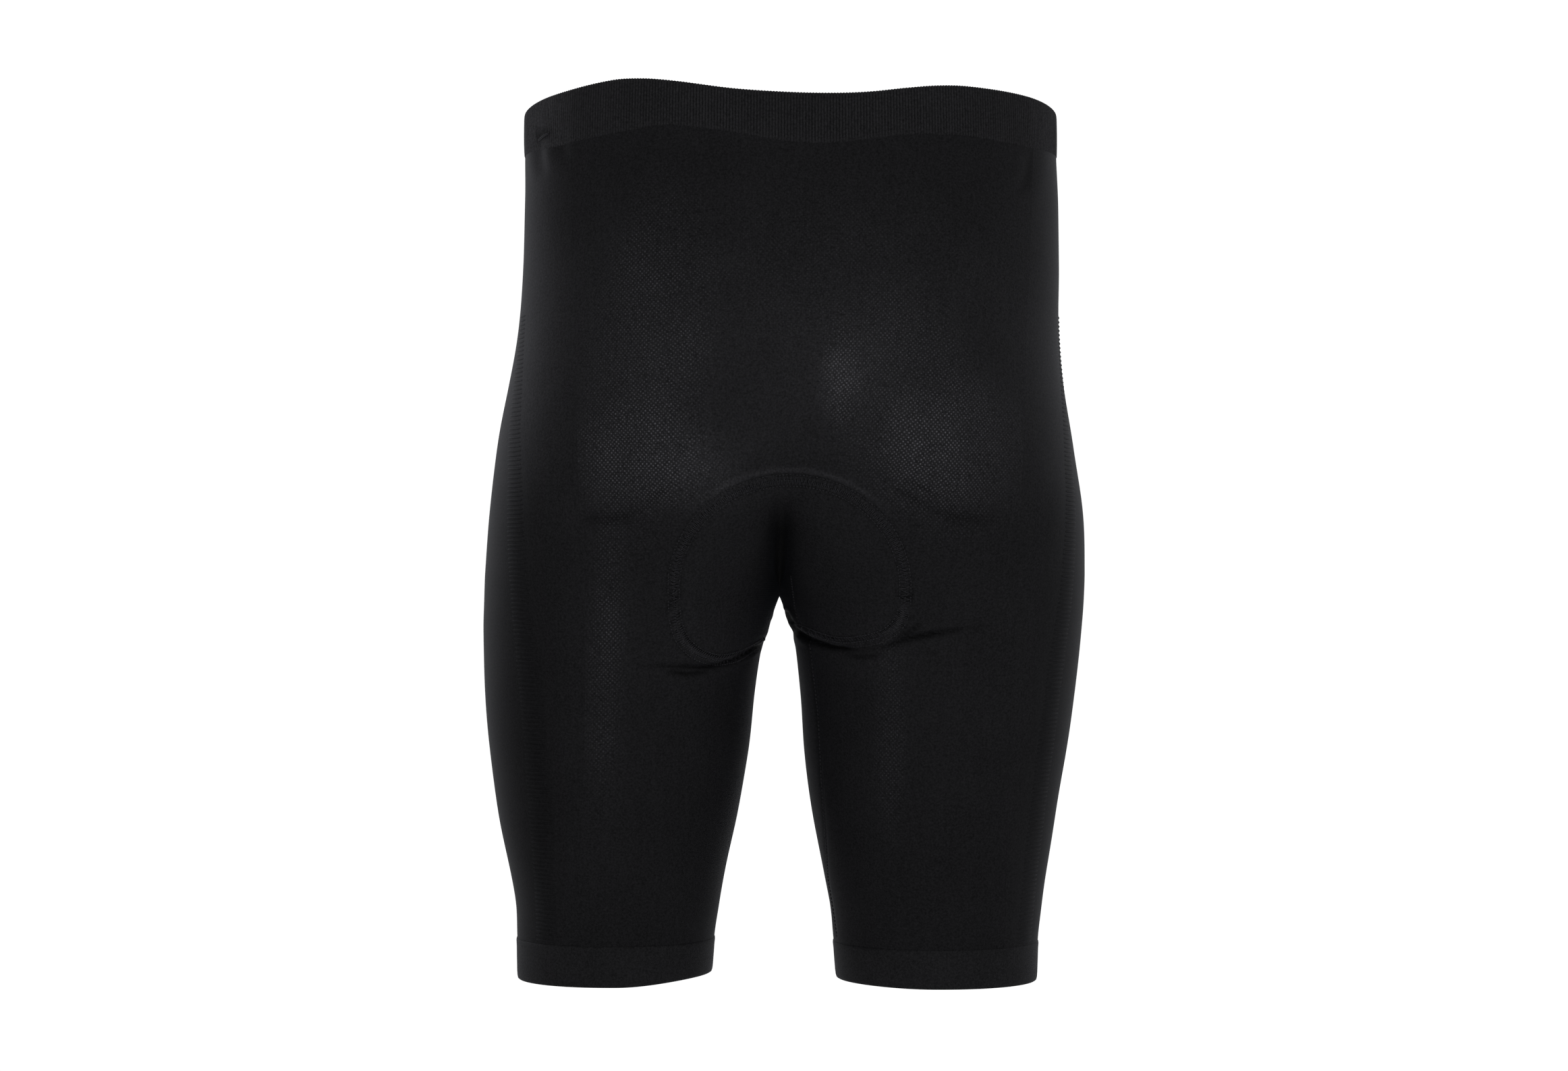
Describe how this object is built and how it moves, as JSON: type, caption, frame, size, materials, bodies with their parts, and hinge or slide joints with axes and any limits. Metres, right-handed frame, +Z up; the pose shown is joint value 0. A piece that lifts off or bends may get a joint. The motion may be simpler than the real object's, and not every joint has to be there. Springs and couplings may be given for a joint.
{
  "type": "cycling shorts",
  "caption": "Seamless-knit cycling shorts, filled out as worn and open at waist and legs, with ribbed waistband, ribbed side zones, turned hems and a seat pad.",
  "frame": {"origin": "middle of the waist opening, at the level of the waistband's highest point", "axes": "+Z up along the body, +Y to the garment's front, +X to the wearer's right"},
  "size_m": [0.3454, 0.243, 0.5107],
  "materials": {
    "rib_band": "black ribbed elastic knit, double layer",
    "body_knit": "black fine polyamide knit with a soft sheen",
    "side_knit": "smooth black knit with raised cross ribs",
    "hem_band": "plain turned knit band",
    "pad_cloth": "brushed microfibre over foam"
  },
  "bodies": {
    "root": {"waistband": "rib_band", "back": "body_knit", "front": "body_knit", "side_left": "side_knit", "side_right": "side_knit", "hem_left": "hem_band", "hem_right": "hem_band", "pad": "pad_cloth"}
  },
  "joints": []
}
